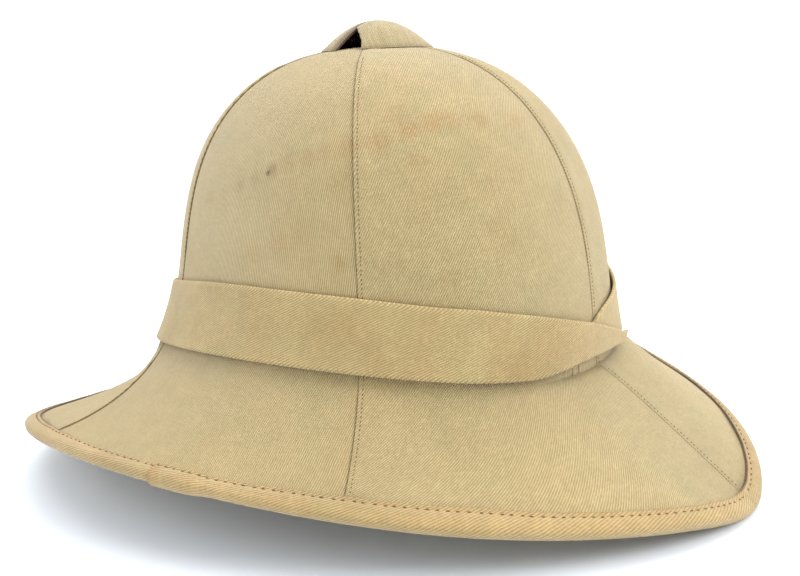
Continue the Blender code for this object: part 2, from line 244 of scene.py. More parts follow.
# ==== surface of the cover
def stack(*parts):
    return np.stack(np.broadcast_arrays(*parts), axis=-1)


def smooth(x):
    x = np.clip(x, 0.0, 1.0)
    return x * x * (3.0 - 2.0 * x)


def bell(x):
    return np.exp(-x * x)


def rounded(x):
    """Quarter circle: rises from 0 and is flat from 1 on."""
    return np.sqrt(np.clip(1.0 - (1.0 - np.clip(x, 0.0, 1.0)) ** 2, 0.0, 1.0))


def cosines(terms, t):
    return sum(term * np.cos(order * t) for order, term in enumerate(terms))


def way_along(points, axis=0):
    """Length of the way along lines of points, from 0 at their first points."""
    steps = np.linalg.norm(np.diff(points, axis=axis), axis=-1)
    return np.concatenate([np.zeros_like(steps.take([0], axis)), np.cumsum(steps, axis)], axis)


def foot_height(t):
    return cosines(FOOT_WAVE, t)


def crown(t, height, proud=0.0):
    """Point of the crown at a share of its height; proud moves it level outwards."""
    dome = np.clip(1.0 - height ** CROWN_FLATNESS, 0.0, 1.0) ** (1.0 / CROWN_SHOULDER)
    share = dome * (1.0 + cosines(CROWN_FLARE, t) * (1.0 - height) ** CROWN_FLARE_DECAY)
    lean = CROWN_LEAN[0] * height + CROWN_LEAN[1] * height ** 2
    foot = foot_height(t)
    return stack(
        (CROWN_HALF_WIDTH * share + proud) * np.sin(t),
        lean + (CROWN_HALF_LENGTH * share + proud) * np.cos(t),
        foot + (CROWN_TOP_HEIGHT - foot) * height,
    )


def edge(angle):
    swing = np.radians(SEAM_SWING)
    t = angle + swing[0] * np.sin(angle) + swing[1] * np.sin(2.0 * angle)
    from_sag = (np.degrees(t) - RIGHT_SAG_ANGLE + 180.0) % 360.0 - 180.0
    lift = np.sin(t) ** 2 * cosines(BRIM_SIDE_LIFT, t) - RIGHT_SAG * bell(from_sag / RIGHT_SAG_SPREAD)
    backness = 0.5 * (1.0 + np.cos(t))
    length, egg, point, square = BRIM_LENGTH
    return stack(
        sum(term * np.sin((order + 1) * t) for order, term in enumerate(BRIM_WIDTH)),
        length * np.cos(t) + egg * (np.cos(2.0 * t) - 1.0)
        + point * (np.cos(3.0 * t) - np.cos(t)) + square * (np.cos(4.0 * t) - 1.0),
        EDGE_HEIGHT_FRONT + (EDGE_HEIGHT_BACK - EDGE_HEIGHT_FRONT) * backness + lift,
    )


def bezier(first, bend, last, share):
    share = np.asarray(share)[..., None]
    return first * (1.0 - share) ** 2 + bend * 2.0 * share * (1.0 - share) + last * share ** 2


def brim(t, along):
    foot, outer = crown(t, np.zeros_like(t)), edge(t)
    reach = cosines(BRIM_REACH, t)
    reach = 0.5 * (reach + np.hypot(reach, BRIM_REACH_SOFTNESS))
    drop = cosines(BRIM_DROP, t)
    return bezier(foot, foot + (outer - foot) * stack(reach, reach, drop), outer, along)


def foot_round(t, share):
    above = crown(t, np.full_like(t, FOOT_ROUND_FRACTION))
    corner = crown(t, np.zeros_like(t))
    return bezier(above, corner, brim(t, np.full_like(t, FOOT_ROUND_REACH)), share)


def height_table():
    """Height shares and distances from the top along the crown's side."""
    fall = FOOT_ROUND_FRACTION - VENT_HEIGHT_FRACTION
    heights = VENT_HEIGHT_FRACTION + fall * np.linspace(0, 1, 600) ** 2
    lengths = way_along(crown(np.full_like(heights, math.pi / 2.0), heights))
    return heights, lengths / lengths[-1]


HEIGHTS, HEIGHT_SHARES = height_table()


def crown_place(angle, height):
    """Point of the crown at an angle in degrees and a height above the table in mm."""
    t = np.array(math.radians(angle))
    foot = foot_height(t)
    return crown(t, (height * MM - foot) / (CROWN_TOP_HEIGHT - foot))


def cover(t, s):
    """Cover at station s: 0 to 1 down the crown, to 2 round its foot, to 3 across the brim."""
    t, s = np.broadcast_arrays(np.asarray(t, float), np.asarray(s, float))
    points = crown(t, np.interp(np.clip(s, 0.0, 1.0), HEIGHT_SHARES, HEIGHTS))
    rounding = foot_round(t, np.clip(s - 1.0, 0.0, 1.0))
    along = FOOT_ROUND_REACH + (1.0 - FOOT_ROUND_REACH) * np.clip(s - 2.0, 0.0, 1.0)
    points = np.where((s > 1.0)[..., None], rounding, points)
    return np.where((s > 2.0)[..., None], brim(t, along), points)


def unit(v):
    return v / np.maximum(np.linalg.norm(v, axis=-1, keepdims=True), 1e-12)


def cover_frame(t, s):
    """Points, normals, downward directions and sideways speed of the cover, in metres per radian."""
    turn, slide = 1e-3, 4e-3
    across = (cover(t + turn, s) - cover(t - turn, s)) / (2.0 * turn)
    down = cover(t, np.minimum(s + slide, 3.0)) - cover(t, np.maximum(s - slide, 0.0))
    normal = unit(np.cross(down, across))
    normal *= np.where(normal[..., 2:3] < 0.0, -1.0, 1.0)
    return cover(t, s), normal, unit(down), np.linalg.norm(across, axis=-1)


def binding_station(t):
    """Station of the binding's inner edge."""
    length = np.linalg.norm(edge(t) - crown(t, np.zeros_like(t)), axis=-1)
    along = 1.0 - cosines(BINDING_WIDTH, t) / length
    return 2.0 + (along - FOOT_ROUND_REACH) / (1.0 - FOOT_ROUND_REACH)


def far_share(t):
    """Share of the shade painted in the crease beside the binding: full on the left and the far right, else
    faint.
    """
    turn = (np.degrees(t) + 180.0) % 360.0 - 180.0
    right = smooth((6.0 - turn) / 10.0) * smooth((turn + 50.0) / 10.0)
    return 0.15 + 0.85 * np.maximum(smooth((turn - 106.0) / 12.0), right)


def wobble(points, size, seed):
    """Smooth unevenness from -1 to 1 over distances of about size, at each point."""
    flat = points.reshape(-1, 3) / size + seed
    values = [noise.noise(Vector(p)) for p in flat]
    return np.array(values).reshape(points.shape[:-1])


def stains(points, size, seed, amount):
    """Patches of up to an amount over distances of about size, where the unevenness is positive."""
    return np.clip(wobble(points, size, seed), 0.0, 1.0) * amount


# ==== meshes
def grid_faces(columns, rows, closed, start=0):
    """Quads of a grid of columns of points, numbered column by column from start."""
    last = columns if closed else columns - 1
    c, r = np.meshgrid(np.arange(last), np.arange(rows - 1), indexing="ij")
    a, b = c * rows + r, ((c + 1) % columns) * rows + r
    return np.stack([a, a + 1, b + 1, b], axis=-1).reshape(-1, 4) + start


def edge_faces(line_a, line_b):
    """Quads between two lines of point numbers."""
    return np.stack([line_a[:-1], line_a[1:], line_b[1:], line_b[:-1]], axis=-1)


def make_piece(name, points, faces, replaced=(), uv=None, material=None):
    """A smooth mesh that rides on the helmet, hides the nodes it replaces and takes the given material."""
    mesh = bpy.data.meshes.new(name)
    points = np.asarray(points, float)
    mesh.from_pydata(points.tolist(), [], [tuple(face) for group in faces for face in group])
    if uv is not None:
        layer = mesh.uv_layers.new(name="weave")
        corners = np.empty(len(mesh.loops), np.int32)
        mesh.loops.foreach_get("vertex_index", corners)
        layer.data.foreach_set("uv", np.asarray(uv, np.float32)[corners].ravel())
    bm = bmesh.new()
    bm.from_mesh(mesh)
    bmesh.ops.recalc_face_normals(bm, faces=bm.faces)
    bm.to_mesh(mesh)
    bm.free()
    mesh.shade_smooth()
    mesh.set_sharp_from_angle(angle=math.radians(50.0))
    piece = bpy.data.objects.new(name, mesh)
    bpy.context.scene.collection.objects.link(piece)
    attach(piece, "root")
    if replaced:
        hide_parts(*replaced)
    if material:
        mesh.materials.append(material)
    return piece


def wall(outer, inner, closed):
    """Points and faces of a closed wall between two grids of the same size."""
    columns, rows = outer.shape[:2]
    count = columns * rows
    number = np.arange(count).reshape(columns, rows)
    faces = [grid_faces(columns, rows, closed), grid_faces(columns, rows, closed, count)]
    for row in (0, rows - 1):
        line = number[:, row]
        if closed:
            line = np.append(line, line[0])
        faces.append(edge_faces(line, line + count))
    if not closed:
        for column in (0, columns - 1):
            faces.append(edge_faces(number[column], number[column] + count))
    points = np.concatenate([outer.reshape(-1, 3), inner.reshape(-1, 3)])
    return points, faces


def swept(sections, closed):
    """Points and faces of closed sections joined in a row, with flat ends unless the row closes."""
    columns, around = sections.shape[:2]
    number = np.arange(columns * around).reshape(columns, around)
    wrapped = np.concatenate([number, number[:, :1]], axis=1)
    last = columns if closed else columns - 1
    faces = [edge_faces(wrapped[i], wrapped[(i + 1) % columns]) for i in range(last)]
    if not closed:
        faces += [[number[0].tolist()], [number[-1][::-1].tolist()]]
    return sections.reshape(-1, 3), faces


def paint(piece, shade_and_dirt, brown, rose):
    """Colour attribute with the marks: red painted shade and dirt, green brown stain, blue rose stain."""
    layer = piece.data.color_attributes.new("marks", "FLOAT_COLOR", "POINT")
    count = len(piece.data.vertices)
    values = np.ones((count, 4), np.float32)
    for channel, amount in enumerate((shade_and_dirt, brown, rose)):
        values[:, channel] = np.clip(np.broadcast_to(np.ravel(amount), count), 0.0, 1.0)
    layer.data.foreach_set("color", values.ravel())


# ==== materials
class Nodes:
    """A new material and a short way to write its nodes; values are sockets or numbers."""

    def __init__(self, name):
        self.material = bpy.data.materials.new(name)
        self.material.use_nodes = True
        self.tree = self.material.node_tree
        self.shader = self.tree.nodes["Principled BSDF"]

    def add(self, kind, settings=(), **inputs):
        node = self.tree.nodes.new(kind)
        for key, value in dict(settings).items():
            setattr(node, key, value)
        for key, value in inputs.items():
            self.put(value, node.inputs[key.replace("_", " ")])
        return node

    def put(self, value, socket):
        if isinstance(value, bpy.types.NodeSocket):
            self.tree.links.new(value, socket)
        else:
            socket.default_value = value

    def math(self, operation, *values):
        node = self.tree.nodes.new("ShaderNodeMath")
        node.operation = operation
        for value, socket in zip(values, node.inputs):
            self.put(value, socket)
        return node.outputs[0]

    def mix(self, share, first, second, blend="MIX"):
        node = self.tree.nodes.new("ShaderNodeMix")
        node.data_type = "RGBA"
        node.blend_type = blend
        for value, key in ((share, 0), (first, 6), (second, 7)):
            self.put(value, node.inputs[key])
        return node.outputs[2]

    def noise(self, vector, scale, detail=2.0, roughness=0.5):
        node = self.add("ShaderNodeTexNoise", Vector=vector, Scale=scale, Detail=detail, Roughness=roughness)
        return node.outputs["Fac"]

    def scaled(self, vector, scale, rotation=(0.0, 0.0, 0.0)):
        return self.add("ShaderNodeMapping", Vector=vector, Scale=scale, Rotation=rotation).outputs[0]

    def span(self, value, low, high, to_low=0.0, to_high=1.0):
        node = self.tree.nodes.new("ShaderNodeMapRange")
        for item, key in ((value, 0), (low, 1), (high, 2), (to_low, 3), (to_high, 4)):
            self.put(item, node.inputs[key])
        return node.outputs[0]

    def finish(self, values, height, strength, depth):
        """Gives the shader its values and the surface its relief, and returns the material."""
        for key, value in values.items():
            self.put(value, self.shader.inputs[key])
        bump = self.add("ShaderNodeBump", Height=height, Strength=strength, Distance=depth)
        self.put(bump.outputs[0], self.shader.inputs["Normal"])
        return self.material


def cloth_material(name, colour, slant, pitch=0.88 * MM, rib_shade=0.75, depth=0.14 * MM, spot=None):
    """Cotton twill: slanted ridges with painted shade in the grooves between them, yarns across them, uneven
    dye, old marks, and the painted shade and dirt of the marks attribute.
    """
    n = Nodes(name)
    weave = n.add("ShaderNodeUVMap", {"uv_map": "weave"}).outputs[0]
    place = n.add("ShaderNodeTexCoord").outputs["Object"]
    slanted = n.scaled(weave, (1.0, 1.0, 1.0), (0.0, 0.0, math.radians(slant)))
    axes = n.add("ShaderNodeSeparateXYZ", Vector=slanted)
    drift = n.math("MULTIPLY", n.noise(weave, 140.0, 2.0), 2.4)
    phase = n.math("MULTIPLY_ADD", axes.outputs["X"], TURN / pitch, drift)
    rib = n.math("SINE", phase)
    half_phase = n.math("MULTIPLY", phase, 0.5)
    yarn_phase = n.math("MULTIPLY_ADD", axes.outputs["Y"], TURN / (0.8 * pitch), half_phase)
    yarn = n.math("SINE", yarn_phase)
    height = n.math("MULTIPLY_ADD", yarn, 0.12, rib)
    fibre = n.noise(weave, 1700.0, 2.0, 0.6)
    height = n.math("MULTIPLY_ADD", fibre, 0.25, height)
    slub_long = n.noise(n.scaled(weave, (2200.0, 90.0, 1.0)), 1.0, 1.0)
    slub_wide = n.noise(n.scaled(weave, (90.0, 2200.0, 1.0)), 1.0, 1.0)
    slub = n.math("ADD", slub_long, slub_wide)
    patch = n.noise(place, 24.0, 4.0, 0.6)
    mottle = n.noise(place, 150.0, 3.0, 0.65)

    pale = tuple(min(c * 1.24, 1.0) for c in colour) + (1.0,)
    deep = (colour[0] * 0.74, colour[1] * 0.72, colour[2] * 0.66, 1.0)
    # The tone is darker in the weave's grooves and lighter on its ridges, following the relief: painted
    # shade. The noises below add real unevenness of yarn and dye.
    tone = n.math("MULTIPLY_ADD", n.span(height, -1.3, 2.2, -1.0, 1.0), rib_shade, 0.5)
    grain = n.noise(weave, 620.0, 2.0, 0.7)
    for value, low, high, share in ((grain, 0.3, 0.7, 0.20), (slub, 0.7, 1.3, 0.14),
                                    (mottle, 0.3, 0.7, 0.13), (patch, 0.3, 0.7, 0.12)):
        tone = n.math("MULTIPLY_ADD", n.span(value, low, high, -1.0, 1.0), share, tone)
    seen = n.mix(tone, deep, pale)
    warm = n.span(n.noise(place, 38.0, 3.0, 0.6), 0.48, 0.72, 0.0, 0.22)
    seen = n.mix(warm, seen, (1.0, 0.90, 0.80, 1.0), "MULTIPLY")
    cool = n.span(n.noise(place, 55.0, 2.0, 0.6), 0.48, 0.72, 0.0, 0.4)
    seen = n.mix(cool, seen, (0.88, 0.97, 0.94, 1.0), "MULTIPLY")
    painted = n.add("ShaderNodeVertexColor", {"layer_name": "marks"}).outputs["Color"]
    channel = n.add("ShaderNodeSeparateColor", Color=painted)
    ragged = n.span(n.noise(place, 420.0, 3.0, 0.7), 0.3, 0.7, 0.35, 1.15)
    # The red channel multiplies in painted shade and dirt; the green and blue channels are stains.
    for output, shade in (("Green", (0.74, 0.60, 0.42, 1.0)), ("Blue", (0.89, 0.72, 0.60, 1.0)),
                          ("Red", (0.22, 0.15, 0.07, 1.0))):
        amount = channel.outputs[output]
        if output != "Red":
            amount = n.math("MULTIPLY", amount, ragged)
        seen = n.mix(amount, seen, n.mix(1.0, seen, shade, "MULTIPLY"))
    if spot:
        centre, radius = spot
        apart = n.add("ShaderNodeVectorMath", {"operation": "DISTANCE"})
        n.put(place, apart.inputs[0])
        apart.inputs[1].default_value = centre
        ragged_edge = n.math("MULTIPLY_ADD", n.noise(place, 900.0, 2.0), 1.6 * radius, apart.outputs["Value"])
        amount = n.span(ragged_edge, 1.1 * radius, 2.3 * radius, 0.85, 0.0)
        seen = n.mix(amount, seen, n.mix(1.0, seen, (0.26, 0.22, 0.11, 1.0), "MULTIPLY"))
    values = {"Base Color": seen, "Roughness": 0.92, "Specular IOR Level": 0.18, "Sheen Weight": 0.32,
              "Sheen Roughness": 0.55}
    return n.finish(values, n.math("MULTIPLY_ADD", mottle, 0.4, height), 0.9, depth)


def plain_material(name, colour, roughness, grain=900.0, spread=0.25, depth=0.15 * MM):
    """Matt material with uneven colour and a fine grain."""
    n = Nodes(name)
    place = n.add("ShaderNodeTexCoord").outputs["Object"]
    tone = n.math("ADD", n.math("MULTIPLY", n.noise(place, 35.0, 4.0, 0.6), 0.6),
                  n.math("MULTIPLY", n.noise(place, grain, 3.0, 0.6), 0.4))
    dark = tuple(c * (1.0 - spread) for c in colour) + (1.0,)
    light = tuple(min(c * (1.0 + spread), 1.0) for c in colour) + (1.0,)
    seen = n.mix(n.span(tone, 0.3, 0.7), dark, light)
    values = {"Base Color": seen, "Roughness": roughness, "Specular IOR Level": 0.2}
    return n.finish(values, n.noise(place, grain, 4.0, 0.6), 0.7, depth)


# ==== gores
OVER_STEPS = np.array([0.0, 0.1, 0.25, 0.45, 0.8, 1.25, 1.7, 2.2, 3.0, 4.2, 6.0, 8.0, 10.5]) * MM
UNDER_STEPS = np.array([-3.8, -1.6, -0.5, -0.1, 0.25, 0.6, 1.0, 1.7, 2.6, 4.0, 6.0, 8.0, 10.5]) * MM
MIDDLE_COLUMNS = 56
SEAM_CALM = 9.0 * MM            # the cloth's unevenness fades out this close to a seam
SEAM_SHARE = 0.42               # the columns beside a seam take at most this share of a gore
CROWN_STATIONS = np.linspace(0.0, 1.0, 100)
FOOT_STATIONS = np.linspace(1.0, 2.0, 9)[1:]
BRIM_STATIONS = np.linspace(2.0, 3.0, 46)[1:]
STATIONS = np.concatenate([CROWN_STATIONS, FOOT_STATIONS, BRIM_STATIONS])


def lap_profile(distance):
    """Height of a folded edge at a distance from the fold, before pressing."""
    roll = rounded(distance / LAP_ROUND)
    ease = 1.0 - smooth((distance - LAP_WIDTH) / (LAP_FADE - LAP_WIDTH))
    dip = 0.28 * MM * bell((distance - SEAM_STITCH_INSET) / (0.7 * MM))
    return LAP_RISE * roll * ease - dip * roll


def pressing(t, s):
    """Share of a lap's height that is left under the cap, the band and the binding."""
    under_cap = 0.35 + 0.65 * smooth((s - 0.15) / 0.05)
    under_band = 1.0 - 0.5 * smooth((s - 0.76) / 0.05) * (1.0 - smooth((s - 2.0) / 0.08))
    under_binding = 1.0 - 0.5 * smooth((s - binding_station(t) + 0.04) / 0.05)
    return under_cap * under_band * under_binding


def seam_value(seam, column, s):
    """A value of a seam from its table: one column for the crown, the next for the brim."""
    on_crown, on_brim = SEAMS[seam][column:column + 2]
    return on_crown + (on_brim - on_crown) * smooth((s - 1.2) / 0.9)


def gore_grid(index):
    """Angles, stations, points and normals of a gore, and what lies beside its seams.

    The sides give, for both seams, the seam, the distances from it and whether this gore lies
    over its neighbour there.
    """
    ends = [math.radians(SEAMS[seam][0]) for seam in (index, index + 1)]
    over = [SEAMS[index][1] == 1, SEAMS[index + 1][1] == -1]
    speed = [cover_frame(np.full_like(STATIONS, end), STATIONS)[3] for end in ends]
    width = 0.5 * (speed[0] + speed[1]) * (ends[1] - ends[0])
    squeeze = np.minimum(1.0, SEAM_SHARE * width / OVER_STEPS[-1])
    first, last = ((OVER_STEPS if lies_over else UNDER_STEPS)[:, None] for lies_over in over)
    t_first = ends[0] + first * squeeze / speed[0]
    t_last = ends[1] - last[::-1] * squeeze / speed[1]
    share = np.linspace(0.0, 1.0, MIDDLE_COLUMNS + 2)[1:-1, None]
    t = np.concatenate([t_first, t_first[-1] + (t_last[0] - t_first[-1]) * share, t_last])
    s = np.broadcast_to(STATIONS, t.shape)
    points, normal = cover_frame(t, s)[:2]
    sides = ((index, (t - ends[0]) * speed[0], over[0]), (index + 1, (ends[1] - t) * speed[1], over[1]))
    return t, s, points, normal, sides, squeeze


def gore_points(index):
    """Outer and inner grids of a gore, its weave coordinates, its sides, angles and stations."""
    t, s, points, normal, sides, squeeze = gore_grid(index)
    press = pressing(t, s) * squeeze
    proud = 0.22 * MM * wobble(points, 0.035, 3.1 + index)
    proud = proud + 0.06 * MM * wobble(points, 0.012, 9.7 + index)
    inner_floor = np.full(t.shape, -1.0)
    close = [1.0 - smooth(distance / SEAM_CALM) for _, distance, _ in sides]
    proud = proud * (1.0 - close[0]) * (1.0 - close[1])
    for near, (seam, distance, lies_over) in zip(close, sides):
        rise = press * seam_value(seam, 4, s)
        if lies_over:
            proud = proud + lap_profile(distance) * rise + 0.04 * MM * near
            inner_floor = np.where(distance < LAP_WIDTH, 0.03 * MM, inner_floor)
        else:
            proud = proud - 0.22 * MM * bell((distance - 0.3 * MM) / (0.8 * MM)) * rise
    proud = proud + puckers(t, s, points)
    inner = np.maximum(proud - CLOTH_SEEN, inner_floor)
    weave = stack(0.5 * (sides[0][1] - sides[1][1]), way_along(points, 1))
    return points + normal * proud[..., None], points + normal * inner[..., None], weave, sides, t, s


def puckers(t, s, points):
    """Small gathers of the brim's cloth just below the band, beside the back seam."""
    angle = np.degrees(t)
    ridges = np.sin(angle * 3.3 + 2.0 * wobble(points, 0.008, 5.0))
    reach = (1.0 - smooth((s - 2.03) / 0.16)) * smooth((s - 1.2) / 0.4)
    place = bell((angle - 2.0) / 5.0) + 0.8 * bell((angle - 11.5) / 3.0)
    place = np.where(np.abs(angle) < 40.0, place, 0.0)
    return 0.16 * MM * ridges * reach * place


def mark_amounts(points):
    """Brown, rose and spot amounts at points, from the table of marks."""
    amounts = {}
    for kind, marks in MARKS.items():
        amounts[kind] = np.zeros(points.shape[:-1])
        for angle, height, radius, strength in marks:
            distance = np.linalg.norm(points - crown_place(angle, height), axis=-1) / (radius * MM)
            amounts[kind] = np.maximum(amounts[kind], strength * (1.0 - smooth(distance - 0.25)))
    return amounts


def build_gore(index):
    name, slant, rib_shade = GORES[index]
    outer, inner, weave, sides, t, s = gore_points(index)
    points, faces = wall(outer, inner, closed=False)
    angle, height, radius = SPOT
    spot = (crown_place(angle, height).tolist(), radius * MM) if name == SPOT_GORE else None
    material = cloth_material("twill_" + name, COVER_COLOUR, slant, rib_shade=rib_shade, spot=spot)
    piece = make_piece("gore_" + name, points, faces, ["cover_panel_" + name],
                       np.concatenate([weave.reshape(-1, 2)] * 2), material)
    amounts = mark_amounts(outer)
    # Painted shade and dirt in the crease along each seam's fold, and on the fold's edge.
    crease = np.zeros(t.shape)
    for seam, distance, lies_over in sides:
        if lies_over:
            line = 0.45 * (1.0 - smooth(distance / (0.30 * MM)))
        else:
            line = 0.98 * bell((distance + 0.05 * MM) / (0.46 * MM)) * (distance > -2.0 * MM)
        crease = np.maximum(crease, line * seam_value(seam, 2, s))
    # Painted shadow and dirt on the crown's foot below the band, fainter where the band's end stands off.
    lifted = bell((np.degrees(t) - 4.0) / 16.0)
    band_foot = 0.22 * bell((s - 1.72) / 0.22) + 0.1 * (1.0 - smooth((s - 2.0) / 0.12)) * (s > 1.3)
    band_foot = band_foot * (1.0 - 0.9 * lifted)
    # Painted shade in the crease along the binding's inner edge, strongest on the far stretches.
    rim = 0.75 * far_share(t) * bell((s - binding_station(t) + 0.003) / 0.007)
    patchiness = 0.5 + 0.5 * wobble(outer, 0.02, 8.0)
    shade_and_dirt = np.maximum(np.maximum(crease, amounts["spot"]), np.maximum(band_foot, rim) * (0.7 + 0.3 * patchiness))
    paint(piece, *(np.concatenate([a.ravel()] * 2) for a in (shade_and_dirt, amounts["brown"], amounts["rose"])))
    width = float(np.ptp(weave[..., 0]))


# ==== stitches
def tube(centres, side, up, size):
    """Rings of six points round a line of centres, one ring for each."""
    turn = np.linspace(0.0, TURN, 6, endpoint=False)[:, None]
    circle = side[..., None, :] * np.cos(turn) + up[..., None, :] * np.sin(turn)
    return centres[:, None] + size[:, None, None] * circle


def plump(share, narrowest):
    """Rounded course from thin ends to 1 in the middle."""
    return np.sin(math.pi * np.clip(share, narrowest, 1.0 - narrowest)) ** 0.5


def stitch_rings(start, stop, normal, radius):
    """Rings of a stitch that rises from the cloth at start and dives again at stop."""
    share = np.array([0.0, 0.12, 0.35, 0.65, 0.88, 1.0])
    side = np.cross(normal, unit(stop - start))
    rise = radius * (1.5 * plump(share, 0.0) - 0.55)
    centres = start + (stop - start) * share[:, None] + normal * rise[:, None]
    return tube(centres, side * 1.15, normal, radius * (0.35 + 0.65 * plump(share, 0.05)))


def make_threads(name, threads, material):
    """One mesh of many threads, each given by its rings."""
    points, faces, count = [], [], 0
    for rings in threads:
        more, groups = swept(rings, closed=False)
        faces += [np.array(group) + count for group in groups]
        points.append(more)
        count += len(more)
    make_piece(name, np.concatenate(points), faces, material=material)


def build_stitches(name, runs, pitch, length, radius, material):
    """One mesh of stitches along runs; a run is a line of points and their normals."""
    threads = []
    for line, normals in runs:
        steps = way_along(line)
        for i in range(int(steps[-1] / pitch)):
            begin = (i + 0.5) * pitch + rng.uniform(-STITCH_JITTER, STITCH_JITTER) * pitch
            end = begin + length * rng.uniform(0.9, 1.1)
            if end > steps[-1]:
                continue
            ends = [np.array([np.interp(x, steps, line[:, k]) for k in range(3)]) for x in (begin, end)]
            normal = unit(np.array([np.interp(begin, steps, normals[:, k]) for k in range(3)]))
            side = unit(np.cross(normal, ends[1] - ends[0]))
            skew = side * rng.uniform(-1.0, 1.0) * 0.08 * MM
            threads.append(stitch_rings(ends[0] + skew, ends[1] - skew, normal, radius))
    make_threads(name, threads, material)


def seam_run(index):
    """Line of the topstitching beside a seam, on the gore that lies over."""
    angle, over = SEAMS[index][:2]
    seam = math.radians(angle)
    s = np.linspace(0.17, 3.0, 500)
    s = s[s < binding_station(np.array(seam)) - 0.005]
    t = np.full_like(s, seam)
    t = t + over * SEAM_STITCH_INSET / cover_frame(t, s)[3]
    points, normal = cover_frame(t, s)[:2]
    proud = lap_profile(SEAM_STITCH_INSET) * pressing(t, s) * seam_value(index, 4, s)
    return points + normal * (proud + 0.04 * MM)[:, None], normal


def build_loose_threads(name, table, radius, material):
    """One mesh of thin threads that stand off the cover, bowed a little, from place to place."""
    threads = []
    for first, first_s, first_lift, last, last_s, last_lift in table:
        share = np.linspace(0.0, 1.0, 9)
        t = np.radians(first + (last - first) * share)
        line, normal = cover_frame(t, first_s + (last_s - first_s) * share)[:2]
        bow = 0.5 * np.sin(math.pi * share) * rng.uniform(0.4, 1.0)
        line = line + normal * ((first_lift + (last_lift - first_lift) * share + bow) * MM)[:, None]
        line = line + 0.12 * MM * np.array([[rng.uniform(-1.0, 1.0) for _ in range(3)] for _ in share])
        ahead = unit(np.gradient(line, axis=0))
        side = unit(np.cross(ahead, normal))
        threads.append(tube(line, side, np.cross(ahead, side), radius * (0.4 + 0.6 * plump(share, 0.06))))
    make_threads(name, threads, material)


# ==== binding
BINDING_COLUMNS = 1300
EDGE_RADIUS = 0.150             # of the brim's edge where the binding's ends lap, for lengths along it
MEAN_EDGE_RADIUS = 0.165
INNER_FACE = 0.3 * MM           # height of the strip's inner face over its bed
UPPER_STITCH_COLUMN = 5
BINDING_LENGTH_COLUMN = 10      # the strip's length is taken along this one
LAP_STEPS = np.array([-2.4, -1.2, -0.7, -0.45, -0.3, -0.18, -0.08, 0.0, 0.08, 0.2, 0.5, 1.1]) * MM


def seam_bumps(t):
    """Lift of the binding where it passes over a seam's turned edge."""
    lift = np.zeros_like(t)
    for angle, over in (seam[:2] for seam in SEAMS[:-1]):
        apart = (t - math.radians(angle) + math.pi) % TURN - math.pi
        lift = lift + bell((apart * MEAN_EDGE_RADIUS - over * 2.0 * MM) / (4.5 * MM))
    return 0.45 * MM * lift


def binding_angles():
    lap = math.radians(BINDING_LAP_ANGLE)
    even = np.linspace(0.0, TURN, BINDING_COLUMNS, endpoint=False)
    fine = lap + LAP_STEPS / EDGE_RADIUS
    even = even[(even < fine[0]) | (even > fine[-1])]
    return np.sort(np.concatenate([even, fine]))


def binding_lap(t):
    """Extra height of the end that laps over, which lies on the side of smaller angles."""
    before = (math.radians(BINDING_LAP_ANGLE) - t) * EDGE_RADIUS
    fade = 1.0 - smooth((before - BINDING_LAP_LENGTH) / (14.0 * MM))
    return BINDING_LAP_RISE * rounded(before / (0.7 * MM)) * fade


UPPER_NEAR = np.array([0.0, 0.12, 0.35, 0.75, 1.25, 1.7, 2.15]) * MM   # where the leg is full wide
UPPER_FAR = (0.16, 0.34, 0.52, 0.70, 0.86, 1.0)                         # shares of what is left
NOSE_TURNS = np.radians([72.0, 52.0, 32.0, 12.0, -8.0, -28.0, -48.0, -66.0, -82.0])
LOWER_FAR = (1.0, 0.75, 0.5, 0.25)
LOWER_NEAR = np.array([2.15, 1.7, 1.25, 0.6, 0.15, 0.0]) * MM
LEG_END = 0.6 * MM              # the flat of a leg ends this far before the edge


def leg_profile(distance, width):
    """Height of the strip's outer face over its bed, at a distance from its turned inner edge."""
    roll = rounded(distance / (0.5 * MM))
    inset = BINDING_STITCH_INSET * leg_scale(width)
    groove = 0.34 * MM * bell((distance - inset) / (0.6 * MM))
    hump = 0.26 * MM * bell((distance / width - 0.62) / 0.30)
    return 0.32 * MM + (0.75 * MM + hump) * roll - groove


def leg_scale(width):
    """Scale of the inner edge and its stitching at a leg's width."""
    return 0.45 + 0.55 * width / BINDING_FULL_WIDTH


def leg_distances(width, near, far):
    """Distances from the inner edge of each column of a leg, for each angle."""
    near = near[:, None] * leg_scale(width)
    inner = near.max(axis=0)
    rest = inner + (width - LEG_END - inner) * np.array(far)[:, None]
    return near, rest


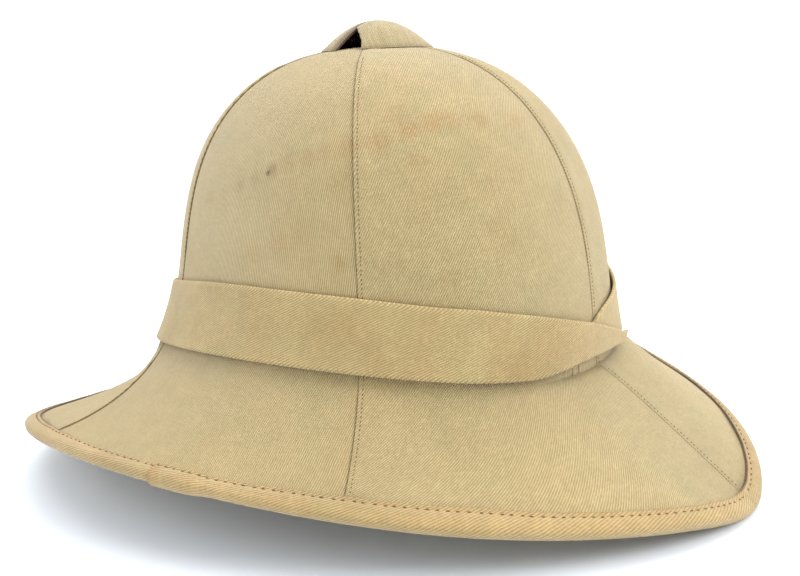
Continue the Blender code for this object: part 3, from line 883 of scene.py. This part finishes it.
def binding_sections():
    t = binding_angles()
    rim, rim_normal, outward, _ = cover_frame(t, np.full_like(t, 3.0))
    depth = CLOTH + GAP + SHELL_THICK_EDGE
    middle = rim - rim_normal * (0.5 * depth)
    width = cosines(BINDING_WIDTH, t)
    lap = binding_lap(t)
    bumps = seam_bumps(t)
    soft = 0.18 * MM * wobble(rim, 0.016, 2.0) + 0.10 * MM * wobble(rim, 0.006, 6.0)
    puckers_here = 0.16 * MM * wobble(rim, 0.0032, 17.0)
    inner_shift = 0.35 * MM * wobble(rim, 0.022, 12.0) + 0.12 * MM * wobble(rim, 0.004, 19.0)
    start = binding_station(t)
    columns = []

    def lay(distance, rise, shift=0.0):
        share = (distance + shift * (1.0 - distance / width)) / width
        points, normal = cover_frame(t, start + (3.0 - start) * share)[:2]
        columns.append(points + normal * np.broadcast_to(rise, t.shape)[:, None])

    def round_rim(turn, rise, reach):
        rise, reach = (np.broadcast_to(size, t.shape)[:, None] for size in (rise, reach))
        columns.append(middle + rim_normal * (rise * math.sin(turn)) + outward * (reach * math.cos(turn)))

    for distance in np.concatenate(leg_distances(width, UPPER_NEAR, UPPER_FAR)):
        near_edge = 1.0 - distance / width
        proud = leg_profile(distance, width) + lap * (distance > 0.0) + bumps * near_edge
        proud = proud + soft * (1.0 - 0.7 * near_edge)
        lay(distance, proud + puckers_here * bell((distance - 1.2 * MM) / (1.2 * MM)), inner_shift)
    half = 0.5 * depth + leg_profile(width, width)
    for turn in NOSE_TURNS:
        round_rim(turn, half + lap, BINDING_NOSE + lap * 0.9 + soft)
    near, rest = leg_distances(width, LOWER_NEAR, LOWER_FAR)
    for distance in np.concatenate([rest, near]):
        below = depth + 0.1 * MM + (leg_profile(distance, width) - 0.1 * MM) * 0.9
        lay(distance, -(below + lap * 0.5 * (distance > 0.0) + 0.6 * soft))
    outer_count = len(columns)
    for share in (0.1, 0.5, 0.85):
        lay(share * width, -(depth + INNER_FACE))
    for turn in np.radians([-50.0, 0.0, 50.0]):
        round_rim(turn, 0.5 * depth + INNER_FACE, BINDING_NOSE - 0.9 * MM)
    for share in (0.85, 0.5, 0.1):
        lay(share * width, INNER_FACE + bumps * (1.0 - share))
    sections = np.stack(columns, axis=1)
    sections[..., 2] = np.maximum(sections[..., 2], 0.0)
    return t, sections, outer_count


def stitch_run(sections, column, side):
    """Closed line of one column of a strip's sections, with its normals on the upper or lower side."""
    line = sections[:, column]
    ahead = np.roll(line, -1, 0) - np.roll(line, 1, 0)
    normal = unit(np.cross(sections[:, column + 1] - sections[:, column - 1], ahead))
    normal *= side * np.sign(normal[:, 2:3])
    return np.concatenate([line, line[:1]]), np.concatenate([normal, normal[:1]])


def build_binding():
    t, sections, outer_count = binding_sections()
    points, faces = swept(sections, closed=True)
    along = way_along(sections[:, BINDING_LENGTH_COLUMN])
    weave = stack(along[:, None], way_along(sections, 1)).reshape(-1, 2)
    material = cloth_material("twill_binding", BINDING_COLOUR, 62.0, pitch=0.98 * MM, rib_shade=0.62,
                              depth=0.18 * MM)
    piece = make_piece("binding", points, faces, ["brim_binding"], weave, material)
    lap_place = (math.radians(BINDING_LAP_ANGLE) - t) * EDGE_RADIUS
    row = np.arange(sections.shape[1])
    # Painted shade: a dark line at the step where the binding's end laps, the turned inner edge darker, most
    # on the far stretches, and the inner face on the brim fully dark.
    step = 0.8 * bell((lap_place + 0.15 * MM) / (0.35 * MM))[:, None] * (row > 1)
    fold = (row < 3) * (0.25 + 0.75 * far_share(t))[:, None]
    shade_and_dirt = np.where(row < outer_count, np.maximum(step, fold), 1.0)
    rose = 0.8 * bell((lap_place - 1.0 * MM) / (3.0 * MM))[:, None] + stains(sections, 0.012, 4.0, 0.3)
    paint(piece, shade_and_dirt, stains(sections, 0.03, 14.0, 0.5), rose)
    lower_column = len(UPPER_NEAR) + len(UPPER_FAR) + len(NOSE_TURNS) + len(LOWER_FAR) + 1
    return [stitch_run(sections, UPPER_STITCH_COLUMN, 1.0), stitch_run(sections, lower_column, -1.0)]


# ==== band
BAND_COLUMNS = 760
BAND_FINE_FROM = -366.0         # the columns stand closer from this angle to the end
BAND_END_COLUMNS = 90
BAND_EDGE_TURNS = np.radians([60.0, 30.0, 0.0, -30.0, -60.0])   # round both edges of the band
BAND_OUTER = (0.035, 0.08, 0.15, 0.24, 0.34, 0.45, 0.56, 0.67, 0.77, 0.86, 0.92, 0.965)
BAND_INNER = (0.93, 0.70, 0.50, 0.30, 0.07)


def band_course(angle):
    """Low edge, high edge and stand-off along the course, with its corners smoothed."""
    table = np.array(BAND_COURSE)[::-1]
    total = 0.0
    reach = np.minimum(np.minimum(angle - table[0, 0], table[-1, 0] - angle), 3.0) / 3.0
    reach = reach * (0.12 + 0.88 * smooth((angle - table[0, 0] - 8.0) / 10.0))
    for shift, weight in ((-3.0, 0.15), (-1.5, 0.2), (0.0, 0.3), (1.5, 0.2), (3.0, 0.15)):
        total = total + weight * np.stack([np.interp(angle + shift * reach, table[:, 0], table[:, k])
                                           for k in (1, 2, 3)])
    return total


def build_band():
    start, end = BAND_COURSE[0][0], BAND_COURSE[-1][0]
    angle = np.concatenate([np.linspace(start, BAND_FINE_FROM, BAND_COLUMNS),
                            np.linspace(BAND_FINE_FROM, end, BAND_END_COLUMNS)[1:]])
    t = np.radians(angle)
    low, high, stand_off = band_course(angle)
    base = crown(t, np.full_like(t, 0.1))
    high = high + 0.35 * MM * wobble(base, 0.03, 21.0) * smooth((end - angle) / -20.0)
    rise = CROWN_TOP_HEIGHT - foot_height(t)
    width = high - low
    slack = 0.35 * MM * (1.0 + wobble(base, 0.03, 31.0)) * smooth(width / 0.02)
    slack = slack * (1.0 - bell((angle + 22.0) / 30.0))
    round_share = 0.5 * BAND_THICK / width
    columns = []

    def add(v, side):
        above = BAND_LIFT + high - width * v
        flare = BAND_FOOT_FLARE * (1.0 - np.minimum(above / high, 1.0)) ** 2
        bulge = slack * np.sin(np.pi * np.clip(v, 0.0, 1.0)) ** 1.2 * (0.6 + 0.8 * v)
        proud = stand_off + flare + (BAND_THICK + bulge) * (0.5 + 0.5 * side)
        columns.append(crown(t, above / rise, proud))

    def add_face(shares, side):
        for share in shares:
            add(round_share + (1.0 - 2.0 * round_share) * share, side)

    add_face(BAND_OUTER, 1.0)
    for turn in BAND_EDGE_TURNS:
        add(1.0 - round_share * (1.0 - math.cos(turn)), math.sin(turn))
    add_face(BAND_INNER, -1.0)
    for turn in BAND_EDGE_TURNS[::-1]:
        add(round_share * (1.0 - math.cos(turn)), math.sin(turn))
    sections = np.stack(columns, axis=1)
    points, faces = swept(sections, closed=False)
    count = len(BAND_OUTER)
    along = way_along(sections[:, count // 2])
    turns = len(BAND_EDGE_TURNS)
    shares = np.concatenate([BAND_OUTER, np.ones(turns), BAND_INNER, np.zeros(turns)])
    across = -width[:, None] * shares + high[:, None]
    weave = stack(along[:, None], across).reshape(-1, 2)
    material = cloth_material("twill_band", BAND_COLOUR, 62.0)
    piece = make_piece("band_wrap", points, faces, ["band"], weave, material)
    row = np.arange(sections.shape[1])
    # Painted shade on the underside of the band's lower edge.
    lower_fold = 0.5 * ((row >= count + 2) & (row < count + 6))
    brown = np.clip(wobble(sections, 0.03, 41.0) * 1.3, 0.0, 1.0) * 0.55
    rose = np.clip(wobble(sections, 0.018, 51.0) * 1.4, 0.0, 1.0) * 0.45
    paint(piece, np.broadcast_to(lower_fold, brown.shape), brown, rose)


# ==== vent cap
CAP_COLUMNS = 144
MOUTH_COLUMNS = ((62.0, 78.0, 0.6), (78.0, 90.0, 1.2), (90.0, 100.0, 0.6))    # from, to and step, degrees
CAP_ROWS = 26
CAP_WALL = 1.2 * MM
CAP_TIP_SHARE = 0.02
CAP_SHARES = np.linspace(0.0, 1.0, CAP_ROWS) ** 0.8     # from the tip down to the edge
MOUTH_SWELL = 1.0 * MM          # of the cloth before the mouth, and how far it lies back behind it
MOUTH_INSET = 1.0 * MM


def crown_height_at(radius, t):
    """Height of the cover at a distance from the cap's axis, at each angle round that axis."""
    low, high = np.full_like(t, 0.5), np.full_like(t, VENT_HEIGHT_FRACTION)
    for _ in range(40):
        middle = 0.5 * (low + high)
        point = crown(t, middle)
        outside = np.hypot(point[:, 0], point[:, 1] - CAP_CENTRE_Y) > radius
        low, high = np.where(outside, middle, low), np.where(outside, high, middle)
    return crown(t, low)[:, 2]


def cap_angles():
    """Columns of the cap, closer together at the mouth."""
    corners = [angle for angle, _ in MOUTH_EDGE]
    fine = np.concatenate([*(np.arange(*run) for run in MOUTH_COLUMNS), corners])
    even = np.linspace(0.0, 360.0, CAP_COLUMNS, endpoint=False)
    even = even[(even < fine.min()) | (even > fine.max())]
    return np.unique(np.round(np.concatenate([even, fine]), 3))


def cap_walls(angle):
    """Outer and inner grids of the dome, column by column from its tip to its edge or the mouth's."""
    corners = np.array(MOUTH_EDGE)
    t = np.radians(angle)
    low = np.interp(angle, corners[:, 0], corners[:, 1])
    base = (crown_height_at(CAP_RADIUS, t) + GAP)[:, None]
    top = CROWN_TOP_HEIGHT + CAP_HEIGHT - base
    reach_share = CAP_TIP_SHARE + (np.sqrt(1.0 - low)[:, None] - CAP_TIP_SHARE) * CAP_SHARES
    height = 1.0 - reach_share ** 2
    jamb = np.interp(height, corners[:-1, 1], corners[:-1, 0])
    below_top = 1.0 - smooth((height - 0.74) / 0.12)
    apart = (angle[:, None] - jamb) / 360.0 * TURN * CAP_RADIUS * reach_share
    swell = MOUTH_SWELL * bell((apart + 1.2 * MM) / (2.2 * MM)) * (apart < 0.05 * MM) * below_top
    behind = smooth(apart / (0.6 * MM)) * smooth((150.0 - angle[:, None]) / 50.0)
    inset = MOUTH_INSET * behind * below_top
    hem = 0.35 * MM * bell((1.0 - CAP_SHARES) * 20.0 * (1.0 - low[:, None]) - 0.6)

    def dome(radius, roof, extra):
        reach = (radius + extra) * reach_share
        across, along = reach * np.sin(t)[:, None], reach * np.cos(t)[:, None]
        return stack(across, CAP_CENTRE_Y + along, base + roof * height)

    soft = 0.25 * MM * wobble(dome(CAP_RADIUS, top, 0.0), 0.012, 61.0)
    outer = dome(CAP_RADIUS, top, swell - inset + hem + soft)
    return outer, dome(CAP_RADIUS - CAP_WALL, top - CAP_WALL, -inset)


def build_cap():
    angle = cap_angles()
    outer, inner = cap_walls(angle)
    points, faces = wall(outer, inner, closed=True)
    count = len(angle) * CAP_ROWS
    del faces[2]                # no rim round the hole at the tip: both walls are closed there
    rings = np.arange(len(angle)) * CAP_ROWS
    following = np.roll(rings, -1)
    tip_out, tip_in = len(points), len(points) + 1
    points = np.concatenate([points, [outer[:, 0].mean(0) + [0, 0, 0.02 * MM]], [inner[:, 0].mean(0)]])
    faces.append(np.stack([rings, following, np.full_like(rings, tip_out)], axis=-1))
    faces.append(np.stack([rings + count, following + count, np.full_like(rings, tip_in)], axis=-1))
    level = np.concatenate([outer[..., :2].reshape(-1, 2), inner[..., :2].reshape(-1, 2), np.zeros((2, 2))])
    side_turn = math.radians(35.0)
    weave = np.stack([level[:, 0] * math.cos(side_turn) - level[:, 1] * math.sin(side_turn),
                      0.7 * (points[:, 2] + level[:, 1])], axis=1)
    material = cloth_material("twill_cap", CAP_COLOUR, 20.0, rib_shade=0.35, depth=0.08 * MM)
    piece = make_piece("cap", points, faces, ["vent_cap"], weave, material)
    # Painted shade: darker beside the mouth, also laid into the brown channel, at the hem on the crown, and
    # full on the inside wall.
    beside_mouth = (smooth((116.0 - angle) / 16.0) * (angle > 91.0))[:, None]
    hem_shade = 0.35 * bell((1.0 - CAP_SHARES) * 14.0)[None, :]
    outer_shade = np.maximum(hem_shade, 0.75 * beside_mouth)
    shade_and_dirt = np.concatenate([outer_shade.ravel(), np.ones(count), [0.0, 1.0]])
    brown = stains(points, 0.01, 71.0, 0.5)
    brown[:count] += np.repeat(beside_mouth, CAP_ROWS)
    paint(piece, shade_and_dirt, brown, 0.2)
    # The inside faces take a near-black finish: painted shade of the closed hollow.
    piece.data.materials.append(plain_material("vent_painted_shade", VENT_SHADE_COLOUR, 1.0))
    for face in piece.data.polygons:
        if all(count <= v < 2 * count or v == tip_in for v in face.vertices):
            face.material_index = 1


# ==== body
BODY_COLUMNS = 216
BODY_STATIONS = np.concatenate([np.linspace(0, 1, 40), np.linspace(1, 2, 7)[1:], np.linspace(2, 3, 24)[1:]])
# Stations, and the way at each from the crown's thickness to the edge's.
THINNING = ((1.0, 0.0), (2.0, 1.0 / 3.0), (3.0, 1.0))


def build_body():
    """Moulded body under the cover, which shows only from below."""
    t = np.linspace(0.0, TURN, BODY_COLUMNS, endpoint=False)[:, None]
    s = BODY_STATIONS[None, :]
    points, normal = cover_frame(t, s)[:2]
    way = smooth(np.interp(s, *np.transpose(THINNING)))
    thick = SHELL_THICK_CROWN + (SHELL_THICK_EDGE - SHELL_THICK_CROWN) * way
    outer = points - normal * (CLOTH + GAP)
    inner = points - normal * (CLOTH + GAP + thick[..., None])
    inner = inner - normal * (0.15 * MM * wobble(points, 0.02, 81.0))[..., None]
    all_points, faces = wall(outer, inner, closed=True)
    material = plain_material("pith", PITH_COLOUR, 0.95, grain=420.0, spread=0.18, depth=0.5 * MM)
    make_piece("pith_body", all_points, faces, ["pith_shell"], material=material)


# ==== stage
def build_floor():
    mesh = bpy.data.meshes.new("floor")
    corners = [(x * FLOOR_HALF, y * FLOOR_HALF, 0.0) for x, y in ((-1, -1), (1, -1), (1, 1), (-1, 1))]
    mesh.from_pydata(corners, [], [(0, 1, 2, 3)])
    floor = bpy.data.objects.new("floor", mesh)
    bpy.context.scene.collection.objects.link(floor)
    n = Nodes("floor")
    n.put((*FLOOR_COLOUR, 1.0), n.shader.inputs["Base Color"])
    n.put(0.9, n.shader.inputs["Roughness"])
    mesh.materials.append(n.material)


def turned(first, second, angle):
    """Two axes turned in their plane, the first towards the second."""
    return (first * math.cos(angle) + second * math.sin(angle),
            second * math.cos(angle) - first * math.sin(angle))


def build_camera():
    """Camera at the photograph's view, turned so that the target stands at its own pixel."""
    azimuth, elevation, roll = (math.radians(a) for a in (CAMERA_AZIMUTH, CAMERA_ELEVATION, CAMERA_ROLL))
    level = Vector((math.sin(azimuth), math.cos(azimuth), 0.0))
    away = level * math.cos(elevation) + HIGH * math.sin(elevation)
    look = -away
    right = look.cross(HIGH).normalized()
    right, up = turned(right, right.cross(look), roll)
    yaw = math.atan((TARGET_PX[0] - IMAGE_PX[0] / 2.0) / CAMERA_FOCAL_PX)
    fall = -(TARGET_PX[1] - IMAGE_PX[1] / 2.0) / CAMERA_FOCAL_PX
    right, ahead = turned(right, look, yaw)
    up, ahead = turned(up, ahead, math.atan(fall * math.cos(yaw)))
    data = bpy.data.cameras.new("camera")
    data.sensor_width = 36.0
    data.lens = CAMERA_FOCAL_PX / IMAGE_PX[0] * data.sensor_width
    data.clip_start = 0.01
    camera = bpy.data.objects.new("camera", data)
    place = CAMERA_TARGET + away * CAMERA_DISTANCE
    camera.matrix_world = Matrix((
        (right.x, up.x, -ahead.x, place.x),
        (right.y, up.y, -ahead.y, place.y),
        (right.z, up.z, -ahead.z, place.z),
        (0.0, 0.0, 0.0, 1.0),
    ))
    bpy.context.scene.collection.objects.link(camera)
    bpy.context.scene.camera = camera
    return level


def add_light(name, place, size, power, colour):
    data = bpy.data.lights.new(name, "AREA")
    data.shape = "DISK"
    data.size = size
    data.energy = power
    data.color = colour
    lamp = bpy.data.objects.new(name, data)
    lamp.location = place
    lamp.rotation_euler = (LIGHT_AIM - place).to_track_quat("-Z", "Y").to_euler()
    bpy.context.scene.collection.objects.link(lamp)


def build_lights(level):
    """Three soft lights and a white world; level is the level direction towards the camera."""
    side = HIGH.cross(level)
    for name, near, right, up, size, power, colour in LIGHTS:
        add_light(name, level * near + side * right + HIGH * up, size, power, colour)
    world = bpy.data.worlds.new("white")
    world.use_nodes = True
    nodes, links = world.node_tree.nodes, world.node_tree.links
    toward = nodes.new("ShaderNodeVectorMath")
    toward.operation = "DOT_PRODUCT"
    links.new(nodes.new("ShaderNodeTexCoord").outputs["Generated"], toward.inputs[0])
    toward.inputs[1].default_value = (level - WORLD_DROP * HIGH).normalized()
    strength = nodes.new("ShaderNodeMapRange")
    strength.interpolation_type = "SMOOTHSTEP"
    for key, value in zip((1, 2, 3, 4), (0.0, 1.0, *WORLD_STRENGTH)):
        strength.inputs[key].default_value = value
    links.new(toward.outputs["Value"], strength.inputs[0])
    background = nodes["Background"]
    background.inputs["Color"].default_value = (1.0, 1.0, 1.0, 1.0)
    links.new(strength.outputs[0], background.inputs["Strength"])
    bpy.context.scene.world = world
    bpy.context.scene.view_settings.view_transform = "Standard"


def main():
    level = build_camera()
    build_body()
    for index in range(len(GORES)):
        build_gore(index)
    thread = plain_material("thread", THREAD_COLOUR, 0.8, grain=3000.0)
    seam_runs = [seam_run(i) for i in STITCHED_SEAMS]
    build_stitches("seam_stitches", seam_runs, SEAM_STITCH_PITCH, length=0.8 * MM, radius=0.14 * MM,
                   material=thread)
    binding_runs = build_binding()
    brown_thread = plain_material("binding_thread", BINDING_THREAD_COLOUR, 0.8, grain=3000.0)
    build_stitches("binding_stitches", binding_runs, BINDING_STITCH_PITCH, length=1.45 * MM,
                   radius=0.24 * MM, material=brown_thread)
    build_band()
    build_loose_threads("dark_threads", DARK_THREADS, radius=0.13 * MM, material=thread)
    pale_thread = plain_material("pale_thread", PALE_THREAD_COLOUR, 0.9, grain=3000.0)
    build_loose_threads("pale_threads", PALE_THREADS, radius=0.09 * MM, material=pale_thread)
    build_cap()
    build_floor()
    build_lights(level)


main()
